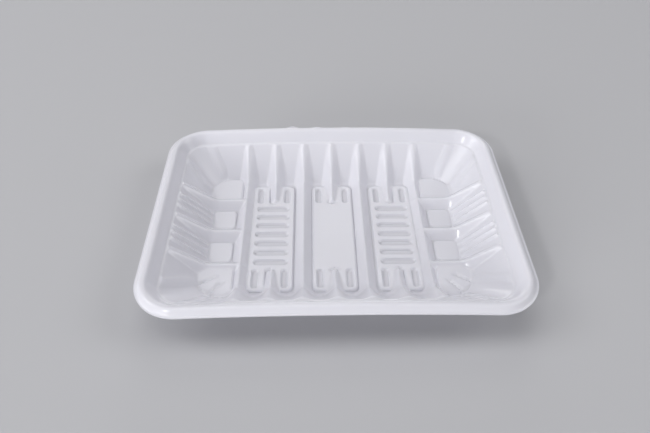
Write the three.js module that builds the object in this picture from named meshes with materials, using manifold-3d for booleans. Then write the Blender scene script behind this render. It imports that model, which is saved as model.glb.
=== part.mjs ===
// A shallow rectangular food tray, thermoformed from one thin plastic sheet.
// Millimetres, +Z up, X along the length, origin on the resting plane under the middle.
//
// The sheet is what lies between two moulds: the upper face (inset 0) and the lower
// face (inset by the sheet's thickness). Both moulds come from the same functions.

import * as THREE from 'three';
import { mergeVertices } from 'three/addons/utils/BufferGeometryUtils.js';
import Module from 'manifold-3d';

const wasm = await Module();
wasm.setup();

// Overall size
const LENGTH = 220;
const WIDTH = 160;
const HEIGHT = 27.5;
const SHEET = 0.5;
const CORNER_RADIUS = 25;

// Rim, from its free edge inwards
const LIP_WIDTH = 1.0;
const SKIRT_RUN = 2.6;
const SKIRT_DROP = 3.0;
const FLANGE_WIDTH = 3.0;
const STEP_RUN = 4.9;
const STEP_DROP = 6.7;
const LEDGE_WIDTH = 1.0;
const FLANGE_OUTER_FILLET = 1.0;
const FLANGE_INNER_FILLET = 1.8;
const RIM_ARCH = 1.8;

// Main wall and floor
const WALL_RUN = 19.5;
const FOOT_FILLET = 4;
const FLOOR_CORNER_RADIUS = 14;

// Ribs: narrow crest, sloping flanks
const RIB_HEIGHT = 5.5;
const RIB_CREST = 1.2;
const RIB_SLOPE = 1.16;
const RIB_PITCH = 38;
const FULL_RIBS = 4;
const RIB_BEND_INSET = 3;
const END_RIB_PITCH = 28;
const END_RIBS = 3;
const END_RIB_BEND_INSET = 0.5;

// Short ribs between the full ones, ending in a round nose on the floor
const SHORT_RIB_HEIGHT = 5.4;
const SHORT_RIB_NOSE_HEIGHT = 3.3;
const SHORT_RIB_REACH = 20.2;
const NOTCH_CLEARANCE = 0.7;

// Raised panels of the floor, with slots and pockets left at floor level
const PANEL_RISE = 1.6;
const PANEL_SLOPE = 1.8;
const PANEL_CORNER = 3.2;
const PANEL_END_INSET = 3;
const SIDE_PANEL_LENGTH = 26.5;
const SIDE_PANEL_FROM_OUTER_RIB = 4.6;
const MIDDLE_PANEL_LENGTH = 26;
const SLOT_COUNT = 7;
const SLOT_PITCH = 7.7;
const SLOT_LENGTH = 21.3;
const SLOT_WIDTH = 4.5;
const POCKET_WIDTH = 4.5;
const POCKET_LENGTH = 14.6;
const POCKET_CORNER = 2.2;
const POCKET_OFFSET = 8.9;
const POCKET_END_INSET = 1.7;

// Small raised pads and corner pads in the two end zones
const PAD_RISE = 0.9;
const PAD_LENGTH = 14;
const PAD_WIDTH = 15.6;
const PAD_CORNER = 2.6;
const PAD_TO_FOOT = 0.6;
const CORNER_PAD_HEIGHT = 4;
const CORNER_PAD_GAP = 3.8;
const CORNER_PAD_REACH_X = 4;
const CORNER_PAD_REACH_Y = 2;
const CORNER_PAD_ROUND = 15;
const CORNER_PAD_CORNER = 3;

// Grooves in the two front corner pads: plan ends measured from the pad's outer corner
const GROOVE_DEPTH = 1.1;
const GROOVE_WIDTH = 2.2;
const GROOVES = [
  [[1.5, 8.2], [11.0, 14.0]],
  [[9.0, 2.2], [15.3, 10.0]],
];

// Flutes on the end walls and ridges at the corners
const FLUTE_COUNT = 3;
const FLUTE_PITCH = 5.0;
const FLUTE_RISE = 1.15;
const FLUTE_CREST = 0.8;
const FLUTE_SLOPE = 1.2;
const FLUTE_FOOT = 0.8;
const RIDGE_RISE = 1.4;
const RIDGE_CREST = 2.8;
const RIDGE_SLOPE = 1.2;
const END_RIDGE_TOP = 13.5;
const END_RIDGE_FOOT = [5, -7.5];
const SIDE_RIDGE_TOP = 13.5;
const SIDE_RIDGE_FOOT = [-3, 6];

// Three small ripples in the back lip: place along X, half width, rise
const RIPPLES = [
  { x: -27, half: 6, rise: 1.5 },
  { x: -10, half: 5, rise: 0.7 },
  { x: 10, half: 6, rise: 0.4 },
];

// Fineness of round stretches
const CORNER_STEPS = 6;
const LONG_STEPS = 6;
const RIM_FILLET_STEPS = 1;
const FOOT_FILLET_STEPS = 2;
const SLOT_STEPS = 2;
const PAD_STEPS = 4;
const NOSE_STEPS = 8;

// How far tools and pieces reach past what they meet, and the least sizes kept
const CUT_CLEARANCE = 2;
const MOULD_DEPTH = 6;
const PAD_DEPTH = 3;
const RIB_OVERLAP = 1;
const RIB_PAST_LEDGE = 4;
const LEAST_CORNER = 0.2;
const NOTCH_ROUNDNESS = 0.98;
const CLOSEST_STATIONS = 1;

// Levels and distances that follow from the sizes
const FLOOR_TOP = SHEET;
const LIP_TOP = HEIGHT - SKIRT_DROP;
const LEDGE_TOP = HEIGHT - STEP_DROP;
const FLANGE_EDGE = LIP_WIDTH + SKIRT_RUN;
const STEP_EDGE = FLANGE_EDGE + FLANGE_WIDTH;
const LEDGE_EDGE = STEP_EDGE + STEP_RUN;
const WALL_EDGE = LEDGE_EDGE + LEDGE_WIDTH;
const FOOT_EDGE = WALL_EDGE + WALL_RUN;
const WALL_SLOPE = (LEDGE_TOP - FLOOR_TOP) / WALL_RUN;
const FLOOR_HALF_X = LENGTH / 2 - FOOT_EDGE;
const FLOOR_HALF_Y = WIDTH / 2 - FOOT_EDGE;
const WALL_HALF_X = LENGTH / 2 - WALL_EDGE;
const WALL_HALF_Y = WIDTH / 2 - WALL_EDGE;
const STRAIGHT_HALF_X = LENGTH / 2 - CORNER_RADIUS;
const RIB_TOP = FLOOR_TOP + RIB_HEIGHT;
const PANEL_TOP = FLOOR_TOP + PANEL_RISE;
const OUTER_RIB_X = RIB_PITCH * (FULL_RIBS - 1) / 2;
const MOULD_FLOOR = -MOULD_DEPTH;

// How far a sloping face moves sideways when it and the face above it are both inset
function sideInset(inset, slope, climb = 0) {
  const flat = Math.hypot(1, climb);
  return inset / slope * (Math.hypot(slope, flat) - flat);
}

function signs(use) {
  return [-1, 1].flatMap(use);
}

function evenly(count, pitch) {
  return Array.from({ length: count }, (_, i) => (i - (count - 1) / 2) * pitch);
}

// The rim's long sides bow up between the corners; the floor stays flat
function archAt(x, z) {
  const along = Math.max(0, 1 - (x / STRAIGHT_HALF_X) ** 2);
  const up = THREE.MathUtils.clamp((z - RIB_TOP) / (LEDGE_TOP - RIB_TOP), 0, 1);
  return RIM_ARCH * along * up;
}

// The ripples lift the back lip and fade out up the skirt
function rippleAt(x, y, edge) {
  if (y < 0 || edge >= FLANGE_EDGE) return 0;
  const fade = 1 - Math.max(0, edge) / FLANGE_EDGE;
  return RIPPLES.reduce((sum, r) => {
    const t = Math.abs(x - r.x) / r.half;
    return t < 1 ? sum + r.rise * fade * 0.5 * (1 + Math.cos(Math.PI * t)) : sum;
  }, 0);
}

function rippled(edge, z) {
  const ring = trayRing(edge, z);
  ring.forEach((p) => { p.z += rippleAt(p.x, p.y, edge); });
  return ring;
}

function toSolid(geometry) {
  geometry.deleteAttribute('normal');
  geometry.deleteAttribute('uv');
  const merged = mergeVertices(geometry, 1e-5);
  const position = merged.attributes.position;
  for (let i = 0; i < position.count; i += 1) {
    position.setZ(i, position.getZ(i) + archAt(position.getX(i), position.getZ(i)));
  }
  return new wasm.Manifold(new wasm.Mesh({
    numProp: 3,
    vertProperties: new Float32Array(position.array),
    triVerts: new Uint32Array(merged.index.array),
  }));
}

// A closed solid through rings of equal point counts, capped at both ends
function loft(rings) {
  const count = rings[0].length;
  const points = rings.flat();
  const centre = (ring) => ring.reduce((s, p) => s.add(p), new THREE.Vector3()).divideScalar(count);
  points.push(centre(rings[0]), centre(rings.at(-1)));
  const index = [];
  for (let i = 0; i < count; i += 1) {
    const next = (i + 1) % count;
    for (let r = 0; r + 1 < rings.length; r += 1) {
      const low = r * count;
      const high = low + count;
      index.push(low + i, low + next, high + next, low + i, high + next, high + i);
    }
    const top = (rings.length - 1) * count;
    index.push(points.length - 2, next, i, points.length - 1, top + i, top + next);
  }
  const geometry = new THREE.BufferGeometry().setFromPoints(points);
  geometry.setIndex(index);
  return toSolid(geometry);
}

// Rounded rectangle, anticlockwise. Radii run from the +x +y corner anticlockwise.
function roundedRing({ x0, x1, y0, y1 }, radii, z, steps = SLOT_STEPS) {
  const corners = [[x1, y1, -1, -1], [x0, y1, 1, -1], [x0, y0, 1, 1], [x1, y0, -1, 1]];
  return corners.flatMap(([x, y, sx, sy], i) => {
    const r = radii[i];
    return Array.from({ length: steps + 1 }, (_, k) => {
      const angle = (i + k / steps) * Math.PI / 2;
      return new THREE.Vector3(
        x + sx * r + r * Math.cos(angle), y + sy * r + r * Math.sin(angle), z);
    });
  });
}

function grow({ x0, x1, y0, y1 }, by) {
  return { x0: x0 - by, x1: x1 + by, y0: y0 - by, y1: y1 + by };
}

// A flat-topped pad with sloping sides that reach below the floor
function raisedPad(box, radii, top, slope, inset, steps = SLOT_STEPS) {
  const side = sideInset(inset, slope);
  const drop = top + PAD_DEPTH;
  return loft([
    roundedRing(grow(box, drop / slope - side), radii.map((r) => r + drop / slope - side),
      -PAD_DEPTH - inset, steps),
    roundedRing(grow(box, -side), radii.map((r) => r - side), top - inset, steps),
  ]);
}

// The tool that leaves a slot or pocket at floor level in a raised pad
function recess(box, radius, inset) {
  const side = sideInset(inset, PANEL_SLOPE);
  const levels = [-PANEL_RISE, CUT_CLEARANCE].map((rise) => {
    const by = rise / PANEL_SLOPE + side;
    const r = Math.max(radius + by, LEAST_CORNER);
    return roundedRing(grow(box, by), [r, r, r, r], PANEL_TOP + rise - inset);
  });
  return loft(levels);
}

// A straight ridge from a to b with a flat crest and sloping flanks. Its ends are inset too.
function ridge(a, b, crest, slope, inset) {
  const along = new THREE.Vector3(b[0] - a[0], b[1] - a[1], 0);
  const climb = (b[2] - a[2]) / along.length();
  along.normalize();
  const across = new THREE.Vector3(-along.y, along.x, 0);
  const half = crest / 2 - sideInset(inset, slope, climb);
  const lowered = inset * Math.hypot(1, climb);
  const geometry = new THREE.BoxGeometry(1, 1, 1);
  const position = geometry.attributes.position;
  for (let i = 0; i < position.count; i += 1) {
    const start = position.getX(i) < 0;
    const end = start ? a : b;
    const back = start ? inset : -inset;
    const top = end[2] - lowered + climb * back;
    const upper = position.getZ(i) > 0;
    const width = upper ? half : half + (top - MOULD_FLOOR) / slope;
    const shift = Math.sign(position.getY(i)) * width;
    position.setXYZ(i, end[0] + along.x * back + across.x * shift,
      end[1] + along.y * back + across.y * shift, upper ? top : MOULD_FLOOR);
  }
  return toSolid(geometry);
}

// The tool that cuts a groove from a to b into a pad's top
function groove(a, b, top, inset) {
  const side = sideInset(inset, PANEL_SLOPE);
  const along = new THREE.Vector2(b[0] - a[0], b[1] - a[1]).normalize();
  const geometry = new THREE.BoxGeometry(1, 1, 1);
  const position = geometry.attributes.position;
  for (let i = 0; i < position.count; i += 1) {
    const level = position.getZ(i) > 0 ? CUT_CLEARANCE : -GROOVE_DEPTH;
    const reach = GROOVE_WIDTH / 2 + level / PANEL_SLOPE + side;
    const end = position.getX(i) < 0 ? a : b;
    const forward = Math.sign(position.getX(i)) * reach;
    const shift = Math.sign(position.getY(i)) * reach;
    position.setXYZ(i, end[0] + along.x * forward - along.y * shift,
      end[1] + along.y * forward + along.x * shift, top + level - inset);
  }
  return toSolid(geometry);
}

// The round end of a short rib
function ribNose(x, y, top, inset) {
  const half = RIB_CREST / 2 - sideInset(inset, RIB_SLOPE);
  const crestZ = top - inset;
  const base = half + (crestZ - MOULD_FLOOR) / RIB_SLOPE;
  const outline = [[0, MOULD_FLOOR], [base, MOULD_FLOOR], [half, crestZ], [0, crestZ]];
  const geometry = new THREE.LatheGeometry(outline.map(([r, z]) => new THREE.Vector2(r, z)), NOSE_STEPS);
  geometry.rotateX(Math.PI / 2);
  geometry.translate(x, y, 0);
  return toSolid(dropSlivers(geometry));
}

// Remove the empty triangles that a lathe leaves where its outline meets the axis
function dropSlivers(geometry) {
  geometry.deleteAttribute('normal');
  geometry.deleteAttribute('uv');
  const merged = mergeVertices(geometry, 1e-4);
  const index = merged.index.array;
  const kept = [];
  for (let i = 0; i < index.length; i += 3) {
    const [a, b, c] = [index[i], index[i + 1], index[i + 2]];
    if (a !== b && b !== c && c !== a) kept.push(a, b, c);
  }
  merged.setIndex(kept);
  return merged;
}

// Round the corners of an open outline of [x, y, radius, steps] points
function filleted(outline) {
  return outline.flatMap(([x, y, radius, steps], i) => {
    if (!radius) return [new THREE.Vector2(x, y)];
    const here = new THREE.Vector2(x, y);
    const back = new THREE.Vector2(...outline[i - 1].slice(0, 2)).sub(here).normalize();
    const ahead = new THREE.Vector2(...outline[i + 1].slice(0, 2)).sub(here).normalize();
    const half = Math.acos(THREE.MathUtils.clamp(back.dot(ahead), -1, 1)) / 2;
    const reach = radius / Math.tan(half);
    const start = here.clone().addScaledVector(back, reach);
    const end = here.clone().addScaledVector(ahead, reach);
    const curve = new THREE.QuadraticBezierCurve(start, here, end);
    return curve.getPoints(steps);
  });
}

// The sheet's upper outline from the lip to the wall's foot: distance in from the edge, height
function sheetOutline() {
  return filleted([
    [0, LIP_TOP],
    [LIP_WIDTH, LIP_TOP],
    [FLANGE_EDGE, HEIGHT, FLANGE_OUTER_FILLET, RIM_FILLET_STEPS],
    [STEP_EDGE, HEIGHT, FLANGE_INNER_FILLET, RIM_FILLET_STEPS],
    [LEDGE_EDGE, LEDGE_TOP],
    [WALL_EDGE, LEDGE_TOP],
    [FOOT_EDGE, FLOOR_TOP, FOOT_FILLET, FOOT_FILLET_STEPS],
    [FOOT_EDGE + 2 * FOOT_FILLET, FLOOR_TOP],
  ]).slice(0, -1);
}

// Move an outline to its underside by the inset
function insetOutline(outline, inset) {
  const downNormal = (p, q) => new THREE.Vector2(q.y - p.y, p.x - q.x).normalize();
  return outline.map((p, i) => {
    const before = i > 0 ? downNormal(outline[i - 1], p) : downNormal(p, outline[i + 1]);
    const last = i === outline.length - 1;
    const after = last ? new THREE.Vector2(0, -1) : downNormal(p, outline[i + 1]);
    const mitre = before.clone().add(after).normalize();
    return p.clone().addScaledVector(mitre, inset / mitre.dot(after));
  });
}

function cornerRadiusAt(edge) {
  const upper = CORNER_RADIUS - Math.min(edge, WALL_EDGE);
  const down = THREE.MathUtils.clamp((edge - WALL_EDGE) / WALL_RUN, 0, 1);
  return THREE.MathUtils.lerp(upper, FLOOR_CORNER_RADIUS, down);
}

// Fractions along a straight side, from -1 to 1, closer together at the ripples
function backStations() {
  const even = Array.from({ length: LONG_STEPS - 1 }, (_, i) => 2 * (i + 1) / LONG_STEPS - 1);
  const close = RIPPLES.flatMap((r) => [-1, 0, 1].map((t) => (r.x + t * r.half) / STRAIGHT_HALF_X));
  const gap = CLOSEST_STATIONS / STRAIGHT_HALF_X;
  const free = even.filter((t) => close.every((c) => Math.abs(c - t) > 2 * gap));
  const sorted = [...free, ...close].sort((a, b) => a - b);
  return sorted.filter((t, i) => i === 0 || t - sorted[i - 1] > gap);
}

// One turn around the tray at a given distance in from the edge
function trayRing(edge, z) {
  const hx = LENGTH / 2 - edge;
  const hy = WIDTH / 2 - edge;
  const r = cornerRadiusAt(edge);
  const corner = (sx, sy, turn) => Array.from({ length: CORNER_STEPS + 1 }, (_, k) => {
    const angle = (turn + k / CORNER_STEPS) * Math.PI / 2;
    return [sx * (hx - r) + r * Math.cos(angle), sy * (hy - r) + r * Math.sin(angle)];
  });
  const front = Array.from({ length: LONG_STEPS - 1 }, (_, i) => 2 * (i + 1) / LONG_STEPS - 1);
  const back = backStations().map((t) => [t * (hx - r), hy]).reverse();
  const plan = [
    ...corner(1, 1, 0), ...back,
    ...corner(-1, 1, 1), ...corner(-1, -1, 2),
    ...front.map((t) => [t * (hx - r), -hy]), ...corner(1, -1, 3),
  ];
  return plan.map(([x, y]) => new THREE.Vector3(x, y, z));
}

// The tray without its ribs and pads, filled solid below the sheet's face
function basin(inset) {
  const outline = sheetOutline();
  if (inset === 0) {
    return loft([trayRing(0, MOULD_FLOOR), ...outline.map((p) => rippled(p.x, p.y))]);
  }
  const lower = insetOutline(outline, inset);
  const outside = -CUT_CLEARANCE;
  const rings = lower.map((p) => rippled(p.x, p.y));
  return loft([trayRing(outside, MOULD_FLOOR - inset), rippled(outside, lower[0].y), ...rings]);
}

// A rib climbing the wall: from its bend near the foot up to the ledge, and a little past it
function climbing(bend, top, height, place, inset) {
  const slope = (LEDGE_TOP - height) / (top - bend);
  return ridge(place(bend - RIB_OVERLAP, height - slope * RIB_OVERLAP),
    place(top + RIB_PAST_LEDGE, LEDGE_TOP + slope * RIB_PAST_LEDGE), RIB_CREST, RIB_SLOPE, inset);
}

function fullRib(x, inset) {
  const bend = FLOOR_HALF_Y - RIB_BEND_INSET;
  const flat = ridge([x, -FLOOR_HALF_Y, RIB_TOP], [x, FLOOR_HALF_Y, RIB_TOP], RIB_CREST, RIB_SLOPE, inset);
  const climbs = signs((s) => climbing(bend, WALL_HALF_Y, RIB_TOP, (y, z) => [x, s * y, z], inset));
  return [flat, ...climbs];
}

function shortRibNoseY() {
  return FLOOR_HALF_Y - SHORT_RIB_REACH + SHORT_RIB_NOSE_HEIGHT / RIB_SLOPE + RIB_CREST / 2;
}

function shortRib(x, side, inset) {
  const nose = shortRibNoseY();
  const noseTop = FLOOR_TOP + SHORT_RIB_NOSE_HEIGHT;
  const bend = FLOOR_HALF_Y - RIB_BEND_INSET;
  const bendTop = FLOOR_TOP + SHORT_RIB_HEIGHT;
  const climb = (bendTop - noseTop) / (bend - nose);
  const foot = [x, side * FLOOR_HALF_Y, bendTop + climb * RIB_BEND_INSET];
  return [
    ribNose(x, side * nose, noseTop, inset),
    ridge([x, side * nose, noseTop], foot, RIB_CREST, RIB_SLOPE, inset),
    climbing(bend, WALL_HALF_Y, bendTop, (y, z) => [x, side * y, z], inset),
  ];
}

function endRib(y, side, inset) {
  const bend = FLOOR_HALF_X - END_RIB_BEND_INSET;
  const flat = ridge([side * OUTER_RIB_X, y, RIB_TOP], [side * FLOOR_HALF_X, y, RIB_TOP],
    RIB_CREST, RIB_SLOPE, inset);
  return [flat, climbing(bend, WALL_HALF_X, RIB_TOP, (x, z) => [side * x, y, z], inset)];
}

// A raised panel between two full ribs, notched by the short ribs at both ends
function panel(x0, x1, slotted, inset) {
  const middle = (x0 + x1) / 2;
  const half = FLOOR_HALF_Y - PANEL_END_INSET;
  const corners = [PANEL_CORNER, PANEL_CORNER, PANEL_CORNER, PANEL_CORNER];
  const pad = raisedPad({ x0, x1, y0: -half, y1: half }, corners, PANEL_TOP, PANEL_SLOPE, inset);
  const cuts = signs((s) => [notch(middle, s, inset), ...pockets(middle, s, half, inset)]);
  if (slotted) {
    cuts.push(...evenly(SLOT_COUNT, SLOT_PITCH).map((y) => recess({
      x0: middle - SLOT_LENGTH / 2,
      x1: middle + SLOT_LENGTH / 2,
      y0: y - SLOT_WIDTH / 2,
      y1: y + SLOT_WIDTH / 2,
    }, SLOT_WIDTH / 2, inset)));
  }
  return cuts.reduce((solid, cut) => solid.subtract(cut), pad);
}

function notch(x, side, inset) {
  const half = RIB_CREST / 2 + (SHORT_RIB_NOSE_HEIGHT - PANEL_RISE) / RIB_SLOPE
    + NOTCH_CLEARANCE + PANEL_RISE / PANEL_SLOPE;
  const near = side * (shortRibNoseY() - half);
  const far = side * (FLOOR_HALF_Y + CUT_CLEARANCE);
  const box = { x0: x - half, x1: x + half, y0: Math.min(near, far), y1: Math.max(near, far) };
  return recess(box, half * NOTCH_ROUNDNESS, inset);
}

function pockets(x, side, panelHalf, inset) {
  const outer = panelHalf - POCKET_END_INSET;
  const y = [side * outer, side * (outer - POCKET_LENGTH)].sort((a, b) => a - b);
  return signs((s) => recess({
    x0: x + s * POCKET_OFFSET - POCKET_WIDTH / 2,
    x1: x + s * POCKET_OFFSET + POCKET_WIDTH / 2,
    y0: y[0],
    y1: y[1],
  }, POCKET_CORNER, inset));
}

function panels(inset) {
  const outer = OUTER_RIB_X - SIDE_PANEL_FROM_OUTER_RIB;
  const inner = outer - SIDE_PANEL_LENGTH;
  return [
    panel(-outer, -inner, true, inset),
    panel(-MIDDLE_PANEL_LENGTH / 2, MIDDLE_PANEL_LENGTH / 2, false, inset),
    panel(inner, outer, true, inset),
  ];
}

// Put a box given for the +x +y quarter into another quarter
function inQuarter(box, sx, sy) {
  const x = [box.x0 * sx, box.x1 * sx].sort((a, b) => a - b);
  const y = [box.y0 * sy, box.y1 * sy].sort((a, b) => a - b);
  return { x0: x[0], x1: x[1], y0: y[0], y1: y[1] };
}

function endPad(sx, sy, inset) {
  const outer = FLOOR_HALF_X - PAD_TO_FOOT;
  const middle = END_RIB_PITCH / 2;
  const box = {
    x0: outer - PAD_LENGTH,
    x1: outer,
    y0: middle - PAD_WIDTH / 2,
    y1: middle + PAD_WIDTH / 2,
  };
  const corners = [PAD_CORNER, PAD_CORNER, PAD_CORNER, PAD_CORNER];
  return raisedPad(inQuarter(box, sx, sy), corners, FLOOR_TOP + PAD_RISE, PANEL_SLOPE, inset);
}

function cornerPad(sx, sy, inset) {
  const top = FLOOR_TOP + CORNER_PAD_HEIGHT;
  const box = {
    x0: OUTER_RIB_X + CORNER_PAD_GAP,
    x1: FLOOR_HALF_X + CORNER_PAD_REACH_X,
    y0: END_RIB_PITCH,
    y1: FLOOR_HALF_Y + CORNER_PAD_REACH_Y,
  };
  const outerCorner = [[2, 1], [3, 0]][sx < 0 ? 0 : 1][sy < 0 ? 0 : 1];
  const radii = [0, 1, 2, 3].map((i) => (i === outerCorner ? CORNER_PAD_ROUND : CORNER_PAD_CORNER));
  const pad = raisedPad(inQuarter(box, sx, sy), radii, top, PANEL_SLOPE, inset, PAD_STEPS);
  if (sy > 0) return pad;
  const at = ([x, y]) => [sx * (box.x1 - x), sy * (box.y1 - y)];
  return GROOVES.reduce((solid, [a, b]) => solid.subtract(groove(at(a), at(b), top, inset)), pad);
}

function wallHeight(distance) {
  return FLOOR_TOP + distance * WALL_SLOPE;
}

function flute(y, side, inset) {
  const at = (d) => [side * (FLOOR_HALF_X + d), y, wallHeight(d) + FLUTE_RISE];
  return ridge(at(FLUTE_FOOT), at(WALL_RUN + LEDGE_WIDTH / 2), FLUTE_CREST, FLUTE_SLOPE, inset);
}

function flutes(inset) {
  const bays = evenly(END_RIBS - 1, END_RIB_PITCH);
  const places = bays.flatMap((bay) => evenly(FLUTE_COUNT, FLUTE_PITCH).map((y) => bay + y));
  return signs((side) => places.map((y) => flute(y, side, inset)));
}

function cornerRidges(sx, sy, inset) {
  const footHeight = ([x, y]) => wallHeight(Math.max(x - FLOOR_HALF_X, y - FLOOR_HALF_Y));
  const line = (top, foot) => ridge(
    [sx * top[0], sy * top[1], LEDGE_TOP + RIDGE_RISE],
    [sx * foot[0], sy * foot[1], footHeight(foot) + RIDGE_RISE],
    RIDGE_CREST, RIDGE_SLOPE, inset);
  return [
    line([WALL_HALF_X + LEDGE_WIDTH, WALL_HALF_Y - END_RIDGE_TOP],
      [FLOOR_HALF_X + END_RIDGE_FOOT[0], FLOOR_HALF_Y + END_RIDGE_FOOT[1]]),
    line([WALL_HALF_X - SIDE_RIDGE_TOP, WALL_HALF_Y + LEDGE_WIDTH],
      [FLOOR_HALF_X + SIDE_RIDGE_FOOT[0], FLOOR_HALF_Y + SIDE_RIDGE_FOOT[1]]),
  ];
}

// Everything under the sheet's upper face, or under its lower face when inset
function mould(inset) {
  const quarters = signs((sx) => signs((sy) => [[sx, sy]]));
  const pieces = [
    ...panels(inset),
    ...quarters.map(([sx, sy]) => endPad(sx, sy, inset)),
    ...quarters.map(([sx, sy]) => cornerPad(sx, sy, inset)),
    ...evenly(FULL_RIBS, RIB_PITCH).flatMap((x) => fullRib(x, inset)),
    ...evenly(FULL_RIBS - 1, RIB_PITCH).flatMap((x) => signs((s) => shortRib(x, s, inset))),
    ...evenly(END_RIBS, END_RIB_PITCH).flatMap((y) => signs((s) => endRib(y, s, inset))),
    ...flutes(inset),
    ...quarters.flatMap(([sx, sy]) => cornerRidges(sx, sy, inset)),
  ];
  const within = loft([trayRing(STEP_EDGE, MOULD_FLOOR), trayRing(STEP_EDGE, HEIGHT)]);
  return pieces.reduce((solid, piece) => solid.add(piece.intersect(within)), basin(inset));
}

function toGeometry(solid) {
  const { vertProperties, triVerts } = solid.getMesh();
  const geometry = new THREE.BufferGeometry();
  geometry.setAttribute('position', new THREE.BufferAttribute(vertProperties, 3));
  geometry.setIndex(new THREE.BufferAttribute(triVerts, 1));
  geometry.computeVertexNormals();
  return geometry;
}

const whitePlastic = new THREE.MeshStandardMaterial({ color: 0xf0f2f9, roughness: 0.35, metalness: 0 });

const tray = new THREE.Mesh(toGeometry(mould(0).subtract(mould(SHEET))), whitePlastic);
tray.name = 'food_tray';

const part = new THREE.Group();
part.add(tray);

export default part;
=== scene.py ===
"""A thin white food tray, pressed from one plastic sheet, on a pale studio floor."""

import bmesh
import bpy
import numpy as np
from mathutils import Matrix, Vector


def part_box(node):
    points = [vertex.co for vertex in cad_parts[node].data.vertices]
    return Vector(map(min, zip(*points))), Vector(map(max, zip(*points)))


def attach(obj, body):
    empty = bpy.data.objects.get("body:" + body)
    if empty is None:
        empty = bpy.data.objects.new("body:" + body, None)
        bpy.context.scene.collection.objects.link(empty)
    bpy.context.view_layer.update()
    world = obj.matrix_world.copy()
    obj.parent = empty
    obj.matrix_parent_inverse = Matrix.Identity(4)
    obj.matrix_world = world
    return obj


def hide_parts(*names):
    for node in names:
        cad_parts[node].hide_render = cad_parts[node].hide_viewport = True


bl_info = {
    "name": "Formed Food Tray",
    "version": (1, 0, 0),
    "blender": (4, 5, 0),
    "location": "View3D > Sidebar > Tray",
    "description": "Presses a ribbed food tray from one thin sheet and sets it in a small studio",
    "category": "Add Mesh",
}

MM = 0.001
TRAY_NODE = "food_tray"
IMAGE_WIDTH = 650
# Where the photograph was taken from, in millimetres, with its directions ahead and to the right
CAMERA_SPOT = (-12.53, -256.2, 273.95)
CAMERA_AHEAD = (0.01949, 0.70684, -0.70711)
CAMERA_RIGHT = (0.99977, -0.02005, 0.00752)
# Largest angle between two faces that are still shaded as one smooth surface, in degrees
SMOOTH_ANGLE = 50
# Width of the camera's film in millimetres, and the nearest thing that it sees
FILM_WIDTH = 36.0
NEAREST_SEEN = 10 * MM
# Share of the light's reach inside the plastic for red, green and blue
REACH_BY_COLOUR = (1.0, 0.95, 0.9)
# Each light's name, its bearing from +X and its height above the floor, both in degrees, and its
# share of the full light size
LIGHTS = (
    ("front_left", 225, 8, 1.0),
    ("front", 270, 10, 1.0),
    ("left", 180, 40, 1.0),
    ("upper_left", 180, 66, 1.0),
    ("top", 0, 89, 1.3),
    ("right", 0, 40, 1.0),
    ("low_right", 0, 12, 1.0),
    ("back", 90, 12, 1.0),
    ("upper_back", 90, 50, 1.0),
    ("sparkle", 233, 34, 0.2),
)

# Step in which the spacing of the mesh lines is worked out
LINE_STEP = 0.02 * MM
# How far inside a slot's edge a mesh line runs
SLOT_LINE_INSET = 0.3 * MM
# Where extra mesh lines cross the grooves, in from the floor's end and from its front side
GROOVE_LINES_X = (6 * MM,)
GROOVE_LINES_Y = (6 * MM, 9 * MM)

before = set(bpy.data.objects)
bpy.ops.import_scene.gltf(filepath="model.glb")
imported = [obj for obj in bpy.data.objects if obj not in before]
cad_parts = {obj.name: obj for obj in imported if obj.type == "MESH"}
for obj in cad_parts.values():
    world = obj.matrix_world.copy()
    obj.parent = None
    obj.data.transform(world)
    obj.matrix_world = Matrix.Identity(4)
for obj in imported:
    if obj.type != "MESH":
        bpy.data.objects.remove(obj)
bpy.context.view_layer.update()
TRAY_LOW, TRAY_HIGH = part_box(TRAY_NODE)
TRAY_LENGTH = TRAY_HIGH.x - TRAY_LOW.x
TRAY_WIDTH = TRAY_HIGH.y - TRAY_LOW.y


def length(name, description, millimetres):
    """A length setting, given in millimetres and kept in metres."""
    return bpy.props.FloatProperty(
        name=name, description=description, default=millimetres * MM, unit="LENGTH", precision=5)


def ratio(name, description, value):
    """A plain number setting."""
    return bpy.props.FloatProperty(name=name, description=description, default=value)


def share(name, description, value):
    """A setting between none and all."""
    return bpy.props.FloatProperty(
        name=name, description=description, default=value, min=0.0, max=1.0, subtype="FACTOR")


def count(name, description, value):
    """A whole number setting."""
    return bpy.props.IntProperty(name=name, description=description, default=value, min=1)


def colour(name, description, value):
    """A colour setting."""
    return bpy.props.FloatVectorProperty(
        name=name, description=description, default=value, size=3, min=0.0, max=1.0, subtype="COLOR")


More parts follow.
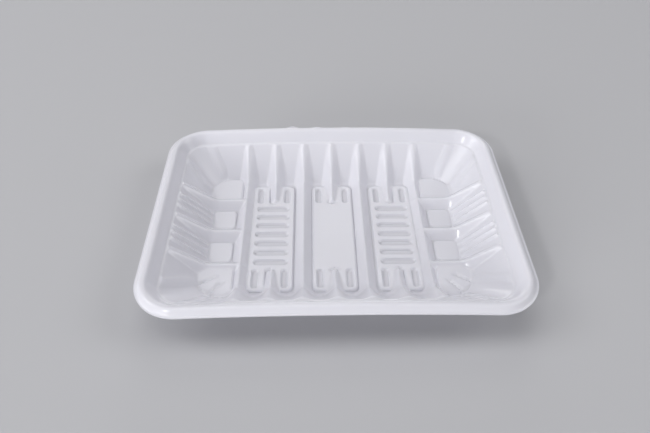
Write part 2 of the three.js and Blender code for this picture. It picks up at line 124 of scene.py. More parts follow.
class TrayRimSettings(bpy.types.PropertyGroup):
    """The sheet, its overall size and the rolled rim."""

    overall_length: bpy.props.FloatProperty(
        name="Length", description="Overall length", default=TRAY_LENGTH, unit="LENGTH", precision=5)
    overall_width: bpy.props.FloatProperty(
        name="Width", description="Overall width", default=TRAY_WIDTH, unit="LENGTH", precision=5)
    height: length("Rim height", "Height of the flange above the table at the corners", 27.5)
    sheet: length("Sheet", "Thickness of the plastic sheet", 0.5)
    corner_radius: length("Corner radius", "Outer corner radius in plan", 25)
    lip_width: length("Lip width", "Flat trimmed edge outside the skirt", 1.0)
    skirt_run: length("Skirt run", "Plan width of the sloping skirt", 2.6)
    skirt_drop: length("Skirt drop", "Height of the flange above the lip", 3.0)
    flange_width: length("Flange width", "Flat top of the rim", 3.0)
    step_run: length("Step run", "Plan width of the step inside the flange", 4.9)
    step_drop: length("Step drop", "Depth of the ledge below the flange", 6.7)
    ledge_width: length("Ledge width", "Narrow ledge at the top of the wall", 1.0)
    arch: length("Rim arch", "How far the long sides bow up at their middle", 1.8)
    ripple_rise: length("Ripple rise", "Height of the largest ripple in the back lip", 1.5)
    lip_blend: length("Lip blend", "Softness of the bend between lip and skirt", 0.4)
    flange_blend: length("Flange blend", "Softness of the flange's outer edge", 1.1)
    step_blend: length("Step blend", "Softness of the flange's inner edge", 1.8)
    ledge_blend: length("Ledge blend", "Softness of the bend at the foot of the step", 0.5)
    wall_blend: length("Wall blend", "Softness of the edge between ledge and wall", 0.4)


class TrayWallSettings(bpy.types.PropertyGroup):
    """The sloping walls with their flutes and corner ridges."""

    run: length("Wall run", "Plan width of the sloping wall", 19.5)
    foot_blend: length("Foot blend", "Softness of the bend between wall and floor", 3.2)
    floor_corner_radius: length("Floor corner", "Corner radius of the floor", 14)
    flute_count: count("Flutes", "Number of flutes between two end ribs", 3)
    flute_pitch: length("Flute pitch", "Spacing of the fine flutes on the end walls", 5.0)
    flute_rise: length("Flute rise", "How far a flute stands off the wall", 1.6)
    flute_half: length("Flute half width", "Half the width of a flute at its foot", 1.6)
    flute_fade: share("Flute fade", "Share of the wall over which a flute dies out at its foot", 0.07)
    ridge_rise: length("Ridge rise", "How far a corner ridge stands off the wall", 1.1)
    ridge_half: length("Ridge half width", "Half the flat width of a corner ridge", 1.5)
    ridge_edge: length("Ridge edge", "Width of a corner ridge's sloping edge", 1.5)


class TrayRibSettings(bpy.types.PropertyGroup):
    """The ribs that stiffen the floor and the walls."""

    height: length("Rib height", "Height of the full ribs above the floor", 5.5)
    slope: ratio("Flank slope", "Height gained by a rib's flank for each unit of width", 1.16)
    crest: length("Crest radius", "Roundness of a rib's crest on the floor", 0.55)
    end_crest: length("End crest radius", "Roundness of an end rib's crest on the floor", 1.2)
    wall_crest: length("Wall crest radius", "Roundness of a rib's crest at the top of the wall", 2.0)
    front_crest: length("Front crest radius", "Roundness of a rib's crest on the front wall", 3.5)
    front_blend: length("Front blend", "Softness of a rib's foot on the front wall", 4.0)
    front_run: length("Front run", "Length over which a rib's foot takes on that softness", 3)
    blunt: length("Blunt end", "Distance of a rib's blunt top end from the ledge", 1.2)
    foot_blend: length("Foot blend", "Softness of the bend at a rib's foot", 0.9)
    bend_blend: length("Bend blend", "Softness of the bend where a rib starts to climb", 2.4)
    pitch: length("Pitch", "Spacing of the full ribs", 38)
    full_count: count("Full ribs", "Number of ribs across the whole floor", 4)
    bend_inset: length("Bend inset", "Distance of the bend from the wall's foot", 3)
    end_pitch: length("End pitch", "Spacing of the ribs on the end walls", 28)
    end_count: count("End ribs", "Number of ribs on each end wall", 3)
    end_bend_inset: length("End bend inset", "Distance of an end rib's bend from the wall's foot", 0.5)
    short_height: length("Short rib height", "Height of a short rib at its bend", 5.4)
    nose_height: length("Nose height", "Height of a short rib at its round nose", 3.3)
    short_reach: length("Short rib reach", "How far a short rib runs in from the wall's foot", 20.2)


class TrayFloorSettings(bpy.types.PropertyGroup):
    """The raised panels and pads of the floor, with their slots and pockets."""

    rise: length("Panel rise", "Height of the panels above the floor", 1.6)
    slope: ratio("Edge slope", "Steepness of the panel and slot edges", 2.2)
    edge_blend: length("Edge blend", "Softness of the panel and slot edges", 0.3)
    panel_corner: length("Panel corner", "Corner radius of a panel", 3.2)
    panel_end_inset: length("Panel end inset", "Gap between a panel and the wall's foot", 3.0)
    side_panel: length("Side panel width", "Width of the two slotted panels", 26.5)
    side_gap: length("Side panel gap", "Distance of a slotted panel from the outer rib's centre", 4.6)
    middle_panel: length("Middle panel width", "Width of the plain middle panel", 26)
    slot_count: count("Slots", "Number of slots in a slotted panel", 7)
    slot_pitch: length("Slot pitch", "Spacing of the slots", 7.7)
    slot_length: length("Slot length", "Length of a slot", 21.3)
    slot_width: length("Slot width", "Width of a slot", 4.5)
    pocket_width: length("Pocket width", "Width of a pocket", 4.5)
    pocket_length: length("Pocket length", "Length of a pocket", 14.6)
    pocket_corner: length("Pocket corner", "Corner radius of a pocket", 2.2)
    pocket_offset: length("Pocket offset", "Distance of a pocket from the panel's middle", 8.9)
    pocket_end_inset: length("Pocket end inset", "Distance of a pocket from the panel's end", 1.7)
    notch_clearance: length("Notch clearance", "Gap between a panel and a short rib", 0.7)
    pad_rise: length("Pad rise", "Height of a small end pad above the floor", 0.9)
    pad_length: length("Pad length", "Length of a small end pad", 14)
    pad_width: length("Pad width", "Width of a small end pad", 15.6)
    pad_corner: length("Pad corner", "Corner radius of a small end pad", 2.6)
    pad_to_foot: length("Pad to foot", "Gap between a small end pad and the wall's foot", 0.6)
    corner_height: length("Corner pad height", "Height of a corner pad above the floor", 4)
    corner_gap: length("Corner pad gap", "Distance of a corner pad from the outer rib's centre", 3.8)
    corner_reach_x: length("Corner pad reach", "How far a corner pad runs into the end wall", 4)
    corner_reach_y: length("Corner pad side reach", "How far a corner pad runs into the long wall", 2)
    corner_round: length("Corner pad round", "Large outer corner radius of a corner pad", 15)
    corner_corner: length("Corner pad corner", "Small corner radius of a corner pad", 3)
    groove_depth: length("Groove depth", "Depth of the two grooves in each front corner pad", 1.1)
    groove_half: length("Groove half width", "Half the width of a groove", 1.1)
    groove_side: share("Groove side", "Share of a groove's half width taken by its sloping side", 0.7)


class TrayMeshSettings(bpy.types.PropertyGroup):
    """How finely the sheet is divided."""

    fine: length("Fine spacing", "Spacing of the mesh lines at a bend", 0.42)
    coarse: length("Coarse spacing", "Largest spacing of the mesh lines", 1.5)
    spread: ratio("Spread", "Growth of the spacing away from a bend", 0.52)


class TrayPlasticSettings(bpy.types.PropertyGroup):
    """The white plastic."""

    tint: colour("Colour", "Colour of the plastic", (0.765, 0.762, 0.82))
    shade: colour("Shade", "Colour of its faintly greyer patches", (0.74, 0.735, 0.79))
    # Painted shade: the two settings below darken the plastic's colour in its lowest places, up to the
    # given height; the sheet is not thinner there.
    painted_low_shade: share("Drawn shade", "Brightness left in the lowest places, where the sheet is thin", 0.88)
    painted_low_shade_height: length("Drawn height", "Height up to which the sheet is drawn thin", 1.3)
    roughness: share("Roughness", "Roughness of the smooth surface", 0.16)
    roughness_range: share("Roughness range", "How much rougher the dull patches are", 0.08)
    translucency: share("Translucency", "How much of the light passes through the thin sheet", 0.2)
    light_reach: length("Light reach", "How far light travels inside the plastic", 0.6)
    waviness: length("Waviness", "Height of the slow waves in the formed sheet", 0.05)
    grain: length("Grain", "Height of the fine grain left by the mould", 0.006)
    patch_scale: ratio("Patch fineness", "Fineness of the faintly greyer patches", 28)
    dull_scale: ratio("Dull patch fineness", "Fineness of the dull patches", 90)
    wave_scale: ratio("Wave fineness", "Fineness of the slow waves", 45)
    grain_scale: ratio("Grain fineness", "Fineness of the grain", 2200)
    refraction: ratio("Refraction", "How strongly the plastic bends light", 1.49)


class StudioSettings(bpy.types.PropertyGroup):
    """The floor, the lights and the camera."""

    floor_size: length("Floor size", "Width of the square floor", 12000)
    floor_tint: colour("Floor", "Colour of the floor", (0.52, 0.52, 0.54))
    floor_roughness: share("Floor roughness", "Roughness of the matt floor", 0.9)
    front_left: ratio("Front left", "Power of the low light in front on the left, in watts", 43)
    front: ratio("Front", "Power of the low light in front, in watts", 11)
    left: ratio("Left", "Power of the light on the left, in watts", 21.5)
    upper_left: ratio("Upper left", "Power of the high light on the left, in watts", 12.2)
    top: ratio("Top", "Power of the light overhead, in watts", 12.8)
    right: ratio("Right", "Power of the light on the right, in watts", 17.2)
    low_right: ratio("Low right", "Power of the low light on the right, in watts", 4.4)
    back: ratio("Back", "Power of the low light behind, in watts", 14.4)
    upper_back: ratio("Upper back", "Power of the high light behind, in watts", 7.2)
    sparkle: ratio("Sparkle", "Power of the small light that makes the bright spots, in watts", 13.3)
    light_size: length("Light size", "Width of each soft light", 1500)
    light_distance: length("Light distance", "Distance of each light from the tray", 3000)
    surround: ratio("Surround", "Strength of the light from all around", 0.13)
    surround_tint: colour("Surround colour", "Colour of the light from all around", (0.95, 0.96, 1.0))
    focal_pixels: ratio("Focal length", "Focal length in pixels of the picture's width", 584.5)


SETTINGS = (
    ("tray_rim", TrayRimSettings),
    ("tray_wall", TrayWallSettings),
    ("tray_rib", TrayRibSettings),
    ("tray_floor", TrayFloorSettings),
    ("tray_mesh", TrayMeshSettings),
    ("tray_plastic", TrayPlasticSettings),
    ("studio", StudioSettings),
)


def soft_max(a, b, blend):
    """The higher of two surfaces, with the crease between them rounded."""
    near = np.maximum(blend - np.abs(a - b), 0.0) / blend
    return np.maximum(a, b) + near * near * blend / 4.0


def soft_min(a, b, blend):
    """The lower of two surfaces, with the edge between them rounded."""
    return -soft_max(-a, -b, blend)


def smooth_step(value):
    """Zero below nought, one above one, and a smooth rise between."""
    t = np.clip(value, 0.0, 1.0)
    return t * t * (3.0 - 2.0 * t)


def beyond_box(x, y, half_x, half_y, radius):
    """Distance outside a rounded rectangle about the origin, negative inside."""
    qx = np.abs(x) - (half_x - radius)
    qy = np.abs(y) - (half_y - radius)
    outside = np.hypot(np.maximum(qx, 0.0), np.maximum(qy, 0.0))
    return outside + np.minimum(np.maximum(qx, qy), 0.0) - radius


def beyond_segment(x, y, start, end):
    """Distance from a straight segment."""
    ax, ay = start
    dx, dy = end[0] - ax, end[1] - ay
    t = np.clip(((x - ax) * dx + (y - ay) * dy) / (dx * dx + dy * dy), 0.0, 1.0)
    return np.hypot(x - ax - t * dx, y - ay - t * dy)


def evenly(number, pitch):
    """Places of a number of like things about the middle."""
    return [(i - (number - 1) / 2) * pitch for i in range(number)]


def nearest(values, places):
    """Distance of each value from the nearest of the places."""
    return np.min([np.abs(values - place) for place in places], axis=0)


class TrayRelief:
    """Height of the sheet's upper face at any place in plan."""

    # Each ripple's middle, half width and share of the full rise
    RIPPLES = ((-27 * MM, 6 * MM, 1.0), (-10 * MM, 5 * MM, 0.47), (10 * MM, 6 * MM, 0.27))
    # Ends of each groove, in from the corner pad's outer corner, in millimetres
    GROOVES = (((1.5, 8.2), (11.0, 14.0)), ((9.0, 2.2), (15.3, 10.0)))
    # Top of each corner ridge from the corner of the wall's top, then its foot from the floor's
    # corner, in millimetres
    END_RIDGE = ((1.0, -13.5), (5, -7.5))
    SIDE_RIDGE = ((-13.5, 1.0), (-3, 6))
    # Shares of the wall that are searched, and how often the search halves them
    WALL_SEARCH = (-0.5, 1.3)
    HALVINGS = 14
    # Steepness of the wall's unseen part above the ledge, against the wall itself
    STEEPER_ABOVE = 3.0
    # How far in from the floor's end a flute may start
    FLUTE_START = 2 * MM

    def __init__(self, scene):
        self.rim = scene.tray_rim
        self.wall = scene.tray_wall
        self.rib = scene.tray_rib
        self.floor = scene.tray_floor
        rim = self.rim
        self.half_x = rim.overall_length / 2
        self.half_y = rim.overall_width / 2
        self.flange_edge = rim.lip_width + rim.skirt_run
        self.step_edge = self.flange_edge + rim.flange_width
        self.ledge_edge = self.step_edge + rim.step_run
        self.wall_edge = self.ledge_edge + rim.ledge_width
        self.foot_edge = self.wall_edge + self.wall.run
        self.lip_top = rim.height - rim.skirt_drop
        self.ledge_top = rim.height - rim.step_drop
        self.floor_top = rim.sheet
        self.rib_top = self.floor_top + self.rib.height
        self.panel_top = self.floor_top + self.floor.rise
        self.wall_x = self.half_x - self.wall_edge
        self.wall_y = self.half_y - self.wall_edge
        self.floor_x = self.half_x - self.foot_edge
        self.floor_y = self.half_y - self.foot_edge
        self.outer_rib = self.rib.pitch * (self.rib.full_count - 1) / 2
        self.nose_y = (self.floor_y - self.rib.short_reach
                       + self.rib.nose_height / self.rib.slope + self.rib.crest)

    def edge_distance(self, x, y):
        """Distance in from the tray's outer edge."""
        return -beyond_box(x, y, self.half_x, self.half_y, self.rim.corner_radius)

    def wall_share(self, x, y):
        """How far down the wall a place lies: nought at the ledge, one at the foot."""
        radius_top = self.rim.corner_radius - self.wall_edge
        low, high = [np.full(np.shape(x), end) for end in self.WALL_SEARCH]
        for _ in range(self.HALVINGS):
            mid = (low + high) / 2
            radius = radius_top + (self.wall.floor_corner_radius - radius_top) * mid
            inside = beyond_box(x, y, self.wall_x - self.wall.run * mid,
                                self.wall_y - self.wall.run * mid, radius) < 0.0
            low = np.where(inside, mid, low)
            high = np.where(inside, high, mid)
        return (low + high) / 2

    def rim_height(self, edge):
        """Lip, skirt, flange, step and ledge, by distance in from the edge."""
        rim = self.rim
        skirt = self.lip_top + (edge - rim.lip_width) * rim.skirt_drop / rim.skirt_run
        z = soft_max(self.lip_top, skirt, rim.lip_blend)
        z = soft_min(z, rim.height, rim.flange_blend)
        step = rim.height - (edge - self.step_edge) * rim.step_drop / rim.step_run
        z = soft_min(z, step, rim.step_blend)
        return soft_max(z, self.ledge_top, rim.ledge_blend)

    def wall_height(self, x, y):
        """The sloping wall with its flutes and corner ridges."""
        down = self.wall_share(x, y)
        fall = self.ledge_top - self.floor_top
        z = self.ledge_top - fall * np.where(down < 0.0, self.STEEPER_ABOVE * down, down)
        on_wall = smooth_step((1.0 - down) / self.wall.flute_fade)
        at_end = np.abs(x) > self.floor_x - self.FLUTE_START
        for bay in evenly(self.rib.end_count - 1, self.rib.end_pitch):
            for offset in evenly(self.wall.flute_count, self.wall.flute_pitch):
                across = np.abs(y - bay - offset) / self.wall.flute_half
                bump = 0.5 + 0.5 * np.cos(np.pi * np.clip(across, 0.0, 1.0))
                z = z + self.wall.flute_rise * bump * on_wall * at_end
        for top, foot in (self.END_RIDGE, self.SIDE_RIDGE):
            start = (self.wall_x + top[0] * MM, self.wall_y + top[1] * MM)
            end = (self.floor_x + foot[0] * MM, self.floor_y + foot[1] * MM)
            across = beyond_segment(np.abs(x), np.abs(y), start, end) - self.wall.ridge_half
            z = z + self.wall.ridge_rise * smooth_step(1.0 - across / self.wall.ridge_edge)
        return z

    def flank(self, across, crest, soft):
        """A rib's section under its crest line, with a crest of the given roundness."""
        return crest - self.rib.slope * (np.sqrt(across * across + soft * soft) - soft)

    def softness(self, start, top, up):
        """A crest's roundness, which grows on the way up the wall."""
        return start + (top - start) * smooth_step(up)

    def climb(self, along, bend, top, height):
        """Crest line that runs level and then climbs to the ledge."""
        reach = top - self.rib.blunt - bend
        return height + (along - bend) * (self.ledge_top - height) / reach

    def way_up(self, along, bend, top):
        """How far up the wall a place lies on a rib."""
        return (along - bend) / (top - bend)

    def long_wall_softness(self, along, bend, y):
        """Roundness of a crest on a long wall, which is softer at the front."""
        top = np.where(y < 0, self.rib.front_crest, self.rib.wall_crest)
        return self.softness(self.rib.crest, top, self.way_up(along, bend, self.wall_y))

    def full_ribs(self, x, y):
        """The ribs that cross the whole floor."""
        along = np.abs(y)
        bend = self.floor_y - self.rib.bend_inset
        rise = self.climb(along, bend, self.wall_y, self.rib_top)
        crest = soft_max(self.rib_top, rise, self.rib.bend_blend)
        across = nearest(x, evenly(self.rib.full_count, self.rib.pitch))
        return self.flank(across, crest, self.long_wall_softness(along, bend, y))

    def short_ribs(self, x, y):
        """The ribs that end in a round nose on the floor."""
        along = np.abs(y)
        bend = self.floor_y - self.rib.bend_inset
        bend_top = self.floor_top + self.rib.short_height
        nose_top = self.floor_top + self.rib.nose_height
        share_out = np.maximum(along - self.nose_y, 0.0) / (bend - self.nose_y)
        level = nose_top + (bend_top - nose_top) * share_out
        crest = soft_max(level, self.climb(along, bend, self.wall_y, bend_top), self.rib.bend_blend)
        past_nose = np.maximum(self.nose_y - along, 0.0)
        across = nearest(x, evenly(self.rib.full_count - 1, self.rib.pitch))
        return self.flank(np.hypot(across, past_nose), crest, self.long_wall_softness(along, bend, y))

    def end_ribs(self, x, y):
        """The ribs on the two end walls."""
        along = np.abs(x)
        bend = self.floor_x - self.rib.end_bend_inset
        rise = self.climb(along, bend, self.wall_x, self.rib_top)
        crest = soft_max(self.rib_top, rise, self.rib.bend_blend)
        short_of = np.maximum(self.outer_rib - along, 0.0)
        across = nearest(y, evenly(self.rib.end_count, self.rib.end_pitch))
        up = self.way_up(along, bend, self.wall_x)
        soft = self.softness(self.rib.end_crest, self.rib.wall_crest, up)
        return self.flank(np.hypot(across, short_of), crest, soft)

    def plateau(self, beyond, top):
        """A flat top with sloping sides, by distance outside its outline."""
        return soft_min(top, top - self.floor.slope * beyond, self.floor.edge_blend)

    def recess(self, beyond_top):
        """The face of a slot or pocket, by distance outside its outline at panel level."""
        foot = self.panel_top + self.floor.slope * beyond_top
        return soft_max(self.floor_top, foot, self.floor.edge_blend)

    def panel(self, x, y, middle, width, slotted):
        """One raised panel with its notches, pockets and slots."""
        f = self.floor
        half_y = self.floor_y - f.panel_end_inset
        x = x - middle
        z = self.plateau(beyond_box(x, y, width / 2, half_y, f.panel_corner), self.panel_top)
        cuts = [self.notch(x, y)]
        pocket_y = half_y - f.pocket_end_inset - f.pocket_length / 2
        cuts.append(beyond_box(np.abs(x) - f.pocket_offset, np.abs(y) - pocket_y,
                               f.pocket_width / 2, f.pocket_length / 2, f.pocket_corner))
        if slotted:
            reach = (f.slot_count - 1) / 2 * f.slot_pitch
            own_slot = np.clip(np.round(y / f.slot_pitch) * f.slot_pitch, -reach, reach)
            cuts.append(beyond_box(x, y - own_slot, f.slot_length / 2, f.slot_width / 2,
                                   f.slot_width / 2))
        for cut in cuts:
            z = soft_min(z, self.recess(cut), f.edge_blend)
        return z

    def notch(self, x, y):
        """Distance outside the round-ended notch that clears a short rib."""
        f = self.floor
        half = (self.rib.crest + (self.rib.nose_height - f.rise) / self.rib.slope
                + f.notch_clearance + f.rise / f.slope)
        past = np.maximum(self.nose_y - np.abs(y), 0.0)
        return np.hypot(x, past) - half

    def panels(self, x, y):
        """The three raised panels."""
        f = self.floor
        side = self.outer_rib - f.side_gap - f.side_panel / 2
        z = self.panel(x, y, 0.0, f.middle_panel, False)
        for middle in (-side, side):
            z = np.maximum(z, self.panel(x, y, middle, f.side_panel, True))
        return z

    def end_pads(self, x, y):
        """The small pads between the end ribs."""
        f = self.floor
        middle_x = self.floor_x - f.pad_to_foot - f.pad_length / 2
        beyond = beyond_box(np.abs(x) - middle_x, np.abs(y) - self.rib.end_pitch / 2,
                            f.pad_length / 2, f.pad_width / 2, f.pad_corner)
        return self.plateau(beyond, self.floor_top + f.pad_rise)

    def corner_pads(self, x, y):
        """The raised corner pads, with two grooves in each front one."""
        f = self.floor
        ax, ay = np.abs(x), np.abs(y)
        x0, x1 = self.outer_rib + f.corner_gap, self.floor_x + f.corner_reach_x
        y0, y1 = self.rib.end_pitch, self.floor_y + f.corner_reach_y
        px, py = ax - (x0 + x1) / 2, ay - (y0 + y1) / 2
        radius = np.where((px > 0) & (py > 0), f.corner_round, f.corner_corner)
        beyond = beyond_box(px, py, (x1 - x0) / 2, (y1 - y0) / 2, radius)
        z = self.plateau(beyond, self.floor_top + f.corner_height)
        in_front = y < 0
        for start, end in self.GROOVES:
            ends = [(x1 - p[0] * MM, y1 - p[1] * MM) for p in (start, end)]
            away = beyond_segment(ax, ay, *ends) / f.groove_half
            z = z - f.groove_depth * smooth_step((1.0 - away) / f.groove_side) * in_front
        return z

    def arch(self, x, z):
        """The slow bow of the long sides, fading out down the wall."""
        along = np.maximum(0.0, 1.0 - (x / (self.half_x - self.rim.corner_radius)) ** 2)
        up = np.clip((z - self.rib_top) / (self.ledge_top - self.rib_top), 0.0, 1.0)
        return self.rim.arch * along * up

    def ripples(self, x, y, edge):
        """The small ripples in the back lip."""
        fade = np.clip(1.0 - edge / self.flange_edge, 0.0, 1.0) * (y > 0)
        z = np.zeros(np.shape(x))
        for middle, half, strength in self.RIPPLES:
            away = np.clip(np.abs(x - middle) / half, 0.0, 1.0)
            z = z + self.rim.ripple_rise * strength * (0.5 + 0.5 * np.cos(np.pi * away))
        return z * fade

    def height(self, x, y):
        """The whole upper face."""
        edge = self.edge_distance(x, y)
        inner = soft_max(self.wall_height(x, y), self.floor_top, self.wall.foot_blend)
        for raised in (self.panels(x, y), self.end_pads(x, y), self.corner_pads(x, y)):
            inner = soft_max(inner, raised, self.floor.edge_blend)
        up_front = smooth_step((self.rib.bend_inset - self.floor_y - y) / self.rib.front_run)
        blend = self.rib.foot_blend + (self.rib.front_blend - self.rib.foot_blend) * up_front
        for ribs in (self.full_ribs(x, y), self.short_ribs(x, y)):
            inner = soft_max(inner, ribs, blend)
        inner = soft_max(inner, self.end_ribs(x, y), self.rib.foot_blend)
        z = soft_min(self.rim_height(edge), inner, self.rim.wall_blend)
        return z + self.arch(x, z) + self.ripples(x, y, edge)


def graded_lines(low, high, bends, mesh):
    """Places of mesh lines from low to high, close at the bends and wider between them."""
    steps = np.arange(low, high, LINE_STEP)
    away = nearest(steps, bends)
    spacing = np.minimum(mesh.fine + mesh.spread * away, mesh.coarse)
    passed = np.concatenate([[0.0], np.cumsum(LINE_STEP / spacing)])[:-1]
    number = int(round(passed[-1]))
    return np.interp(np.linspace(0.0, passed[-1], number + 1), passed, np.append(steps[:-1], high))


def mirrored(values):
    """The values and their negatives."""
    return [sign * value for value in values for sign in (-1, 1)]


def bends_along_x(relief):
    """Where the relief bends along the tray's length."""
    f = relief.floor
    flank = relief.rib.height / relief.rib.slope + relief.rib.crest
    bends = []
    for at in evenly(2 * relief.rib.full_count - 1, relief.rib.pitch / 2):
        bends += [at - flank, at, at + flank]
    side = relief.outer_rib - f.side_gap - f.side_panel / 2
    for middle, width in ((-side, f.side_panel), (0.0, f.middle_panel), (side, f.side_panel)):
        bends += [middle - width / 2, middle + width / 2]
        inner, outer = f.pocket_offset - f.pocket_width / 2, f.pocket_offset + f.pocket_width / 2
        bends += [middle + edge for edge in mirrored((inner, outer))]
    pad = relief.floor_x - f.pad_to_foot
    bends += mirrored((pad, pad - f.pad_length, relief.outer_rib + f.corner_gap, relief.wall_x))
    bends += mirrored((relief.floor_x, *[relief.floor_x - inset for inset in GROOVE_LINES_X]))
    return bends


def bends_along_y(relief):
    """Where the relief bends along the tray's width."""
    f = relief.floor
    half_y = relief.floor_y - f.panel_end_inset
    pocket = half_y - f.pocket_end_inset
    bends = [at + edge for at in evenly(f.slot_count, f.slot_pitch)
             for edge in mirrored((f.slot_width / 2 - SLOT_LINE_INSET,))]
    flank = relief.rib.height / relief.rib.slope + relief.rib.crest
    for at in evenly(relief.rib.end_count, relief.rib.end_pitch):
        bends += [at - flank, at, at + flank]
    for bay in evenly(relief.rib.end_count - 1, relief.rib.end_pitch):
        bends += [bay + at for at in evenly(relief.wall.flute_count, relief.wall.flute_pitch)]
    bends += mirrored((half_y, pocket, pocket - f.pocket_length, relief.nose_y, relief.wall_y))
    bends += mirrored((relief.floor_y,))
    bends += [inset - relief.floor_y for inset in GROOVE_LINES_Y]
    return bends


def deselect_all():
    """Leave object mode with nothing selected."""
    if bpy.context.mode != "OBJECT":
        bpy.ops.object.mode_set(mode="OBJECT")
    bpy.ops.object.select_all(action="DESELECT")


def lay_grid(relief, mesh):
    """A grid primitive over the tray's inside, its lines moved to where the relief bends."""
    xs = graded_lines(-relief.wall_x, relief.wall_x, bends_along_x(relief), mesh)
    ys = graded_lines(-relief.wall_y, relief.wall_y, bends_along_y(relief), mesh)
    bpy.ops.mesh.primitive_grid_add(
        x_subdivisions=len(xs) - 1, y_subdivisions=len(ys) - 1, size=2.0, location=(0, 0, 0))
    sheet = bpy.context.object
    sheet.name = "tray_sheet"
    spots = np.empty(len(sheet.data.vertices) * 3)
    sheet.data.vertices.foreach_get("co", spots)
    spots = spots.reshape(-1, 3)
    column = np.round((spots[:, 0] + 1) / 2 * (len(xs) - 1)).astype(int)
    row = np.round((spots[:, 1] + 1) / 2 * (len(ys) - 1)).astype(int)
    radius = relief.rim.corner_radius - relief.wall_edge
    x, y = round_corners(xs[column], ys[row], relief.wall_x - radius, relief.wall_y - radius, radius)
    spots[:, 0], spots[:, 1] = x, y
    sheet.data.vertices.foreach_set("co", spots.ravel())
    return sheet


def round_corners(x, y, start_x, start_y, radius):
    """Press a rectangle's square corners into round ones."""
    u = np.clip((np.abs(x) - start_x) / radius, 0.0, 1.0)
    v = np.clip((np.abs(y) - start_y) / radius, 0.0, 1.0)
    round_x = np.sign(x) * (start_x + radius * u * np.sqrt(1.0 - v * v / 2.0))
    round_y = np.sign(y) * (start_y + radius * v * np.sqrt(1.0 - u * u / 2.0))
    in_corner = (u > 0) & (v > 0)
    return np.where(in_corner, round_x, x), np.where(in_corner, round_y, y)


def extrude_rim(sheet, relief, mesh):
    """Extrude the grid's border outwards, ring by ring, to the trimmed edge."""
    bends = (relief.wall_edge, relief.ledge_edge, relief.step_edge, relief.flange_edge,
             relief.rim.lip_width, 0.0)
    rings = graded_lines(0.0, relief.wall_edge, bends, mesh)[::-1]
    centre_x = relief.half_x - relief.rim.corner_radius
    centre_y = relief.half_y - relief.rim.corner_radius
    bpy.ops.object.mode_set(mode="EDIT")
    bpy.ops.mesh.select_mode(type="EDGE")
    bpy.ops.mesh.select_all(action="DESELECT")
    bpy.ops.mesh.select_non_manifold()
    for outer, inner in zip(rings[1:], rings[:-1]):
        bpy.ops.mesh.extrude_edges_move()
        edit = bmesh.from_edit_mesh(sheet.data)
        for vert in edit.verts:
            if vert.select:
                hub_x = min(max(vert.co.x, -centre_x), centre_x)
                hub_y = min(max(vert.co.y, -centre_y), centre_y)
                away = (vert.co - Vector((hub_x, hub_y, 0))).normalized()
                vert.co = vert.co + away * (inner - outer)
        bmesh.update_edit_mesh(sheet.data)
    bpy.ops.object.mode_set(mode="OBJECT")


def press(sheet, relief):
    """Press the flat sheet into the mould."""
    spots = np.empty(len(sheet.data.vertices) * 3)
    sheet.data.vertices.foreach_get("co", spots)
    spots = spots.reshape(-1, 3)
    spots[:, 2] = relief.height(spots[:, 0], spots[:, 1])
    sheet.data.vertices.foreach_set("co", spots.ravel())
    sheet.data.update()


def thicken(sheet, thickness):
    """Give the sheet its thickness, downwards from the moulded face."""
    wall = sheet.modifiers.new("sheet_thickness", "SOLIDIFY")
    wall.thickness = thickness
    wall.offset = -1.0
    wall.use_even_offset = True
    wall.use_quality_normals = True
    bpy.ops.object.modifier_apply(modifier=wall.name)
    bpy.ops.object.shade_smooth_by_angle(angle=np.radians(SMOOTH_ANGLE))


def add_node(tree, kind, **inputs):
    """Add a shader node and set some of its inputs by name."""
    node = tree.nodes.new(kind)
    for name, value in inputs.items():
        node.inputs[name.replace("_", " ")].default_value = value
    return node


def add_noise(tree, place, scale, detail, roughness):
    """Add a noise texture that lies fixed in the object and give its output."""
    noise = add_node(tree, "ShaderNodeTexNoise", Scale=scale, Detail=detail, Roughness=roughness)
    tree.links.new(place.outputs["Object"], noise.inputs["Vector"])
    return noise.outputs["Fac"]


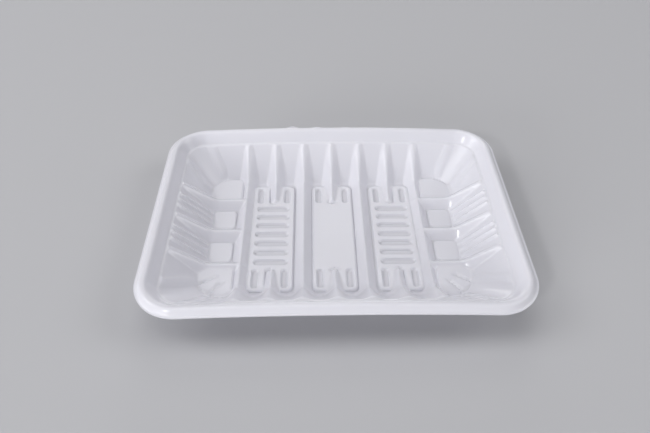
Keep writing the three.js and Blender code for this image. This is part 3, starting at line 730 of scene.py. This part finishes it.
def white_plastic(settings):
    """Smooth white sheet plastic with soft patches, slow waves, a fine mould grain and painted shade
    in its lowest places.
    """
    material = bpy.data.materials.new("tray_white_plastic")
    material.use_nodes = True
    tree = material.node_tree
    shader = tree.nodes["Principled BSDF"]
    place = tree.nodes.new("ShaderNodeTexCoord")
    patches = add_noise(tree, place, settings.patch_scale, detail=3.0, roughness=0.5)
    mix = tree.nodes.new("ShaderNodeMix")
    mix.data_type = "RGBA"
    mix.inputs["A"].default_value = (*settings.tint, 1.0)
    mix.inputs["B"].default_value = (*settings.shade, 1.0)
    tree.links.new(patches, mix.inputs["Factor"])

    # Painted shade: the colour is scaled down by height in the lowest places, such as the slot floors
    # and the moats; the sheet keeps one thickness there.
    split = tree.nodes.new("ShaderNodeSeparateXYZ")
    thin = add_node(tree, "ShaderNodeMapRange")
    thin.inputs["From Min"].default_value = settings.painted_low_shade_height / 2
    thin.inputs["From Max"].default_value = settings.painted_low_shade_height
    thin.inputs["To Min"].default_value = settings.painted_low_shade
    thin.inputs["To Max"].default_value = 1.0
    dim = tree.nodes.new("ShaderNodeVectorMath")
    dim.operation = "SCALE"
    tree.links.new(place.outputs["Object"], split.inputs["Vector"])
    tree.links.new(split.outputs["Z"], thin.inputs["Value"])
    tree.links.new(mix.outputs["Result"], dim.inputs["Vector"])
    tree.links.new(thin.outputs["Result"], dim.inputs["Scale"])
    tree.links.new(dim.outputs["Vector"], shader.inputs["Base Color"])

    dull = add_noise(tree, place, settings.dull_scale, detail=4.0, roughness=0.6)
    spread = tree.nodes.new("ShaderNodeMapRange")
    spread.inputs["To Min"].default_value = settings.roughness
    spread.inputs["To Max"].default_value = settings.roughness + settings.roughness_range
    tree.links.new(dull, spread.inputs["Value"])
    tree.links.new(spread.outputs["Result"], shader.inputs["Roughness"])

    waves = add_noise(tree, place, settings.wave_scale, detail=1.0, roughness=0.4)
    grain = add_noise(tree, place, settings.grain_scale, detail=2.0, roughness=0.5)
    wave_bump = add_node(tree, "ShaderNodeBump", Strength=1.0, Distance=settings.waviness)
    grain_bump = add_node(tree, "ShaderNodeBump", Strength=1.0, Distance=settings.grain)
    tree.links.new(waves, wave_bump.inputs["Height"])
    tree.links.new(grain, grain_bump.inputs["Height"])
    tree.links.new(wave_bump.outputs["Normal"], grain_bump.inputs["Normal"])
    tree.links.new(grain_bump.outputs["Normal"], shader.inputs["Normal"])
    shader.inputs["IOR"].default_value = settings.refraction
    shader.inputs["Subsurface Weight"].default_value = settings.translucency
    shader.inputs["Subsurface Radius"].default_value = REACH_BY_COLOUR
    shader.inputs["Subsurface Scale"].default_value = settings.light_reach
    return material


def floor_material(settings):
    """A plain pale matt floor."""
    material = bpy.data.materials.new("studio_floor")
    material.use_nodes = True
    shader = material.node_tree.nodes["Principled BSDF"]
    shader.inputs["Base Color"].default_value = (*settings.floor_tint, 1.0)
    shader.inputs["Roughness"].default_value = settings.floor_roughness
    shader.inputs["Specular IOR Level"].default_value = 0.0
    return material


class TRAY_OT_press_sheet(bpy.types.Operator):
    """Press the tray from one thin plastic sheet"""

    bl_idname = "tray.press_sheet"
    bl_label = "Press the Tray"

    def execute(self, context):
        scene = context.scene
        relief = TrayRelief(scene)
        deselect_all()
        sheet = lay_grid(relief, scene.tray_mesh)
        extrude_rim(sheet, relief, scene.tray_mesh)
        press(sheet, relief)
        thicken(sheet, scene.tray_rim.sheet)
        if not sheet.data.polygons:
            raise RuntimeError("the tray's sheet came out empty")
        sheet.data.materials.append(white_plastic(scene.tray_plastic))
        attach(sheet, "root")
        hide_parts(TRAY_NODE)
        return {"FINISHED"}


def soft_light(name, bearing, height, size, power, settings):
    """A round soft light that looks at the tray from a bearing and a height, in degrees."""
    data = bpy.data.lights.new(name, "AREA")
    data.shape = "DISK"
    data.size = settings.light_size * size
    data.energy = power
    turn, lift = np.radians(bearing), np.radians(height)
    away = Vector((np.cos(turn) * np.cos(lift), np.sin(turn) * np.cos(lift), np.sin(lift)))
    lamp = bpy.data.objects.new(name, data)
    bpy.context.scene.collection.objects.link(lamp)
    lamp.location = away * settings.light_distance
    lamp.rotation_euler = away.to_track_quat("Z", "Y").to_euler()


def place_camera(settings):
    """The photograph's viewing angle, from the tray's own lines in perspective."""
    spot = Vector(CAMERA_SPOT) * MM
    ahead = Vector(CAMERA_AHEAD).normalized()
    right = Vector(CAMERA_RIGHT).normalized()
    up = right.cross(ahead)
    data = bpy.data.cameras.new("photo_camera")
    data.sensor_width = FILM_WIDTH
    data.lens = settings.focal_pixels / IMAGE_WIDTH * data.sensor_width
    data.clip_start = NEAREST_SEEN
    camera = bpy.data.objects.new("photo_camera", data)
    bpy.context.scene.collection.objects.link(camera)
    turn = Matrix((right, up, -ahead)).transposed()
    camera.matrix_world = Matrix.Translation(spot) @ turn.to_4x4()
    bpy.context.scene.camera = camera


class TRAY_OT_set_studio(bpy.types.Operator):
    """Set up the pale floor, the soft lights and the camera"""

    bl_idname = "tray.set_studio"
    bl_label = "Set the Studio"

    def execute(self, context):
        settings = context.scene.studio
        deselect_all()
        bpy.ops.mesh.primitive_plane_add(size=settings.floor_size, location=(0, 0, 0))
        floor = context.object
        floor.name = "studio_floor"
        floor.data.materials.append(floor_material(settings))
        for name, bearing, height, size in LIGHTS:
            soft_light(name + "_light", bearing, height, size, getattr(settings, name), settings)
        context.scene.view_settings.view_transform = "Standard"
        world = bpy.data.worlds.new("studio_world")
        context.scene.world = world
        world.use_nodes = True
        background = world.node_tree.nodes["Background"]
        background.inputs["Color"].default_value = (*settings.surround_tint, 1.0)
        background.inputs["Strength"].default_value = settings.surround
        place_camera(settings)
        return {"FINISHED"}


class VIEW3D_PT_food_tray(bpy.types.Panel):
    """The tray's sizes and the buttons that build it"""

    bl_label = "Food Tray"
    bl_space_type = "VIEW_3D"
    bl_region_type = "UI"
    bl_category = "Tray"

    def draw(self, context):
        layout = self.layout
        for operator in OPERATORS:
            layout.operator(operator.bl_idname)
        for name, group in SETTINGS:
            box = layout.box()
            box.label(text=name.replace("_", " ").title())
            settings = getattr(context.scene, name)
            for key in group.__annotations__:
                box.prop(settings, key)


OPERATORS = (TRAY_OT_press_sheet, TRAY_OT_set_studio)
CLASSES = (*[group for _, group in SETTINGS], *OPERATORS, VIEW3D_PT_food_tray)


def register():
    for cls in CLASSES:
        bpy.utils.register_class(cls)
    for name, group in SETTINGS:
        setattr(bpy.types.Scene, name, bpy.props.PointerProperty(type=group))


def unregister():
    for name, _ in SETTINGS:
        delattr(bpy.types.Scene, name)
    for cls in reversed(CLASSES):
        bpy.utils.unregister_class(cls)


def main():
    register()
    bpy.ops.tray.press_sheet()
    bpy.ops.tray.set_studio()


if __name__ == "__main__":
    main()
